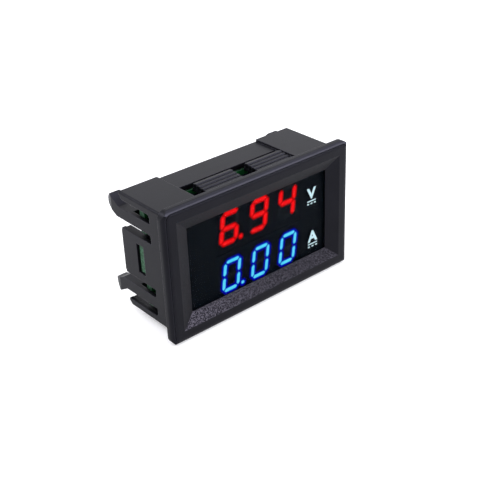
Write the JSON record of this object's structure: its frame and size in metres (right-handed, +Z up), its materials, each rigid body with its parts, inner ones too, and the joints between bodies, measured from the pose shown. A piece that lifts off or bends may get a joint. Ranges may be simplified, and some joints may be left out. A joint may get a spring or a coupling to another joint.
{
  "type": "digital panel meter",
  "caption": "Snap-in panel meter: black bezel and housing, dark window, red and blue LED readouts, open back with board, trimmers and plug headers.",
  "frame": {"origin": "centre of the panel cut-out on the panel's front face, where the back of the bezel seats", "axes": "+X across the front to the viewer's right, +Y back into the panel, +Z up"},
  "size_m": [0.0494, 0.0225, 0.03],
  "materials": {
    "black_abs": "fine-grained moulded ABS",
    "tinted_filter": "dark tinted polycarbonate",
    "green_board": "green solder mask on glass epoxy",
    "display_epoxy": "moulded display body",
    "red_light": "lit red epoxy window",
    "blue_light": "lit blue epoxy window",
    "idle_segment": "unlit epoxy window",
    "tinned_metal": "bright tin plating",
    "solder": "flowed solder",
    "white_nylon": "natural white nylon",
    "ceramic": "fired ceramic",
    "rotor_brass": "plated rotor",
    "chip_epoxy": "moulded epoxy",
    "shunt_alloy": "resistance alloy wire",
    "capacitor_ceramic": "fired ceramic"
  },
  "bodies": {
    "meter": {"housing": "black_abs", "filter_window": "tinted_filter", "circuit_board": "green_board", "red_display_body": "display_epoxy", "red_lit_segments": "red_light", "red_idle_segments": "idle_segment", "blue_display_body": "display_epoxy", "blue_lit_segments": "blue_light", "blue_idle_segments": "idle_segment", "display_pins": "tinned_metal", "solder_joints": "solder", "supply_header": "white_nylon", "supply_header_pins": "tinned_metal", "load_header": "white_nylon", "load_header_pins": "tinned_metal", "voltage_trimmer_base": "ceramic", "current_trimmer_base": "ceramic", "microcontroller": "chip_epoxy", "microcontroller_leads": "tinned_metal", "amplifier": "chip_epoxy", "amplifier_leads": "tinned_metal", "regulator": "chip_epoxy", "regulator_leads": "tinned_metal", "diode": "chip_epoxy", "diode_terminals": "tinned_metal", "shunt": "shunt_alloy", "resistors": "chip_epoxy", "resistor_ends": "tinned_metal", "capacitors": "capacitor_ceramic", "capacitor_ends": "tinned_metal"},
    "voltage_rotor": {"voltage_trimmer_rotor": "rotor_brass"},
    "current_rotor": {"current_trimmer_rotor": "rotor_brass"}
  },
  "joints": [
    {"name": "voltage_trim", "type": "hinge", "parent": "meter", "child": "voltage_rotor", "pos_m": [-0.0172, 0.0117, 0.004], "axis": [0, 1, 0], "range_deg": [-125, 125]},
    {"name": "current_trim", "type": "hinge", "parent": "meter", "child": "current_rotor", "pos_m": [-0.0172, 0.0117, -0.004], "axis": [0, 1, 0], "range_deg": [-125, 125]}
  ]
}
